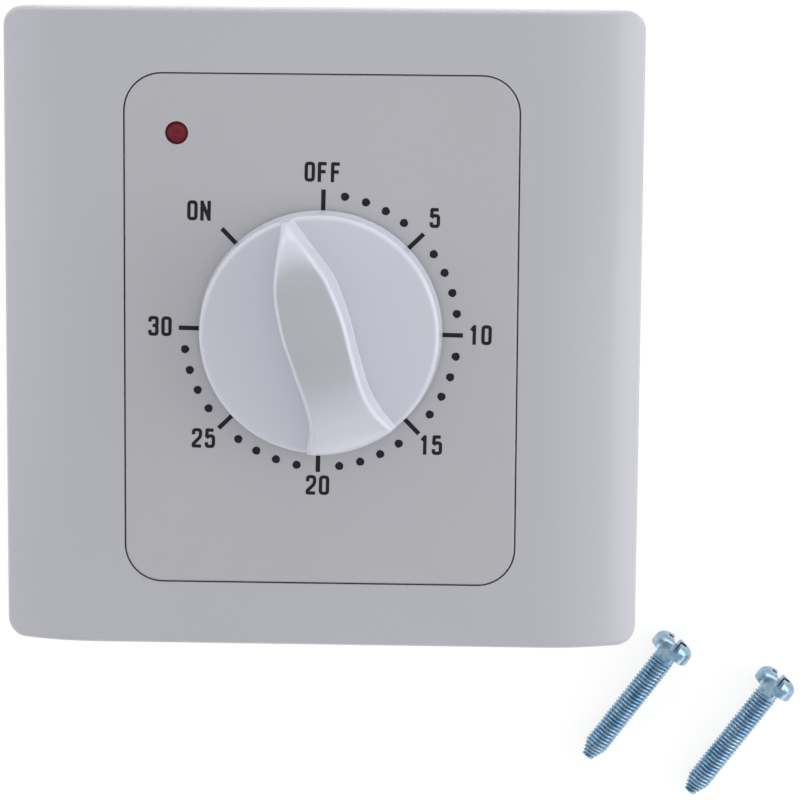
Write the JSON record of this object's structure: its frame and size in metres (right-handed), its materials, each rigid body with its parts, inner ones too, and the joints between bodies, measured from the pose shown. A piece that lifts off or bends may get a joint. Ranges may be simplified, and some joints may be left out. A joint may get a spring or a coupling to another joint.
{
  "type": "wall timer switch",
  "caption": "Square wall-mounted mechanical countdown timer switch with a round finned knob, a printed minute dial, a red indicator, a rear case and two loose mounting screws.",
  "frame": {"origin": "in the wall plane, midway between the two wall screw slots, on the knob's axis", "axes": "+Z out of the face, away from the wall; +Y up to 12 o'clock on the dial; +X to 3 o'clock"},
  "size_m": [0.1113, 0.1174, 0.0565],
  "materials": {
    "frame_plastic": "glossy moulded ABS, cool white",
    "panel_plastic": "satin moulded plastic, slightly warmer white, printed dial",
    "knob_plastic": "glossy moulded ABS, cool white",
    "base_plastic": "moulded nylon, off-white",
    "case_plastic": "moulded flame-retardant plastic, off-white",
    "block_plastic": "black phenolic",
    "cam_plastic": "natural acetal",
    "lens_plastic": "clear dark red polycarbonate",
    "zinc_steel": "bright blue-passivated zinc plate",
    "steel": "bright steel",
    "spring_steel": "blued spring steel",
    "brass": "rolled and stamped brass",
    "contact_silver": "silver alloy rivet",
    "lamp_glass": "clear neon lamp glass",
    "resistor_body": "lacquered film resistor",
    "wire_insulation": "PVC insulation, brown"
  },
  "bodies": {
    "housing": {"dial_panel": "panel_plastic", "base_plate": "base_plastic", "rear_case": "case_plastic", "case_screws": "zinc_steel", "mainspring": "spring_steel", "spring_post": "steel", "front_movement_plate": "brass", "rear_movement_plate": "brass", "movement_pillars": "steel", "movement_spacers": "steel", "pillar_nuts": "zinc_steel", "line_strip": "brass", "fixed_contact": "brass", "fixed_contact_rivet": "contact_silver", "terminal_block": "block_plastic", "terminal_clamps": "brass", "indicator_lens": "lens_plastic", "neon_lamp": "lamp_glass", "lamp_resistor": "resistor_body", "lamp_wires": "wire_insulation", "mounting_screws": "zinc_steel"},
    "cover": {"cover_frame": "frame_plastic"},
    "dial": {"knob": "knob_plastic", "spindle": "steel", "spring_collet": "brass", "main_wheel": "brass", "friction_washer": "spring_steel", "retaining_ring": "spring_steel", "switch_cam": "cam_plastic"},
    "second_set": {"second_wheel": "brass", "second_arbor": "steel"},
    "third_set": {"third_wheel": "brass", "third_arbor": "steel"},
    "escape_set": {"escape_wheel": "brass", "escape_arbor": "steel"},
    "pallet": {"pallet_lever": "brass", "pallet_pins": "steel", "pallet_arbor": "steel", "inertia_bar": "steel"},
    "contact_leaf": {"moving_contact": "brass", "moving_contact_rivet": "contact_silver"},
    "clamp_screw_1": {"terminal_screw_1": "zinc_steel"},
    "clamp_screw_2": {"terminal_screw_2": "zinc_steel"},
    "clamp_screw_3": {"terminal_screw_3": "zinc_steel"}
  },
  "joints": [
    {"name": "dial_turn", "type": "hinge", "parent": "housing", "child": "dial", "pos_m": [0, 0, 0], "axis": [0, 0, 1], "range_deg": [-286.6, 28.4], "deforming": ["mainspring"]},
    {"name": "second_turn", "type": "hinge", "parent": "housing", "child": "second_set", "pos_m": [-0.00891, 0.00891, 0], "axis": [0, 0, 1], "range_deg": [-171.4, 1720.6]},
    {"name": "third_turn", "type": "hinge", "parent": "housing", "child": "third_set", "pos_m": [0.00011, 0.01219, 0], "axis": [0, 0, 1], "range_deg": [-8600, 854]},
    {"name": "escape_turn", "type": "hinge", "parent": "housing", "child": "escape_set", "pos_m": [0.008, 0.00932, 0], "axis": [0, 0, 1], "range_deg": [-4265, 42995]},
    {"name": "pallet_swing", "type": "hinge", "parent": "housing", "child": "pallet", "pos_m": [0.0158, 0.00425, 0], "axis": [0, 0, 1], "range_deg": [-2.5, 2.5]},
    {"name": "contact_press", "type": "hinge", "parent": "housing", "child": "contact_leaf", "pos_m": [-0.0162, -0.00852, 0], "axis": [0, 0, 1], "range_deg": [-0.9, 0], "stiffness_Nm_per_rad": 0.05},
    {"name": "cover_lift", "type": "slide", "parent": "housing", "child": "cover", "axis": [0, 0, 1], "range_m": [0, 0.03]},
    {"name": "clamp_screw_1_turn_in", "type": "slide", "parent": "housing", "child": "clamp_screw_1", "axis": [0, 0, -1], "range_m": [-0.002, 0.0006]},
    {"name": "clamp_screw_2_turn_in", "type": "slide", "parent": "housing", "child": "clamp_screw_2", "axis": [0, 0, -1], "range_m": [-0.002, 0.0006]},
    {"name": "clamp_screw_3_turn_in", "type": "slide", "parent": "housing", "child": "clamp_screw_3", "axis": [0, 0, -1], "range_m": [-0.002, 0.0006]}
  ],
  "couplings": [
    {"joint": "second_turn", "follows": "dial_turn", "ratio": -6},
    {"joint": "third_turn", "follows": "dial_turn", "ratio": 30},
    {"joint": "escape_turn", "follows": "dial_turn", "ratio": -150}
  ]
}
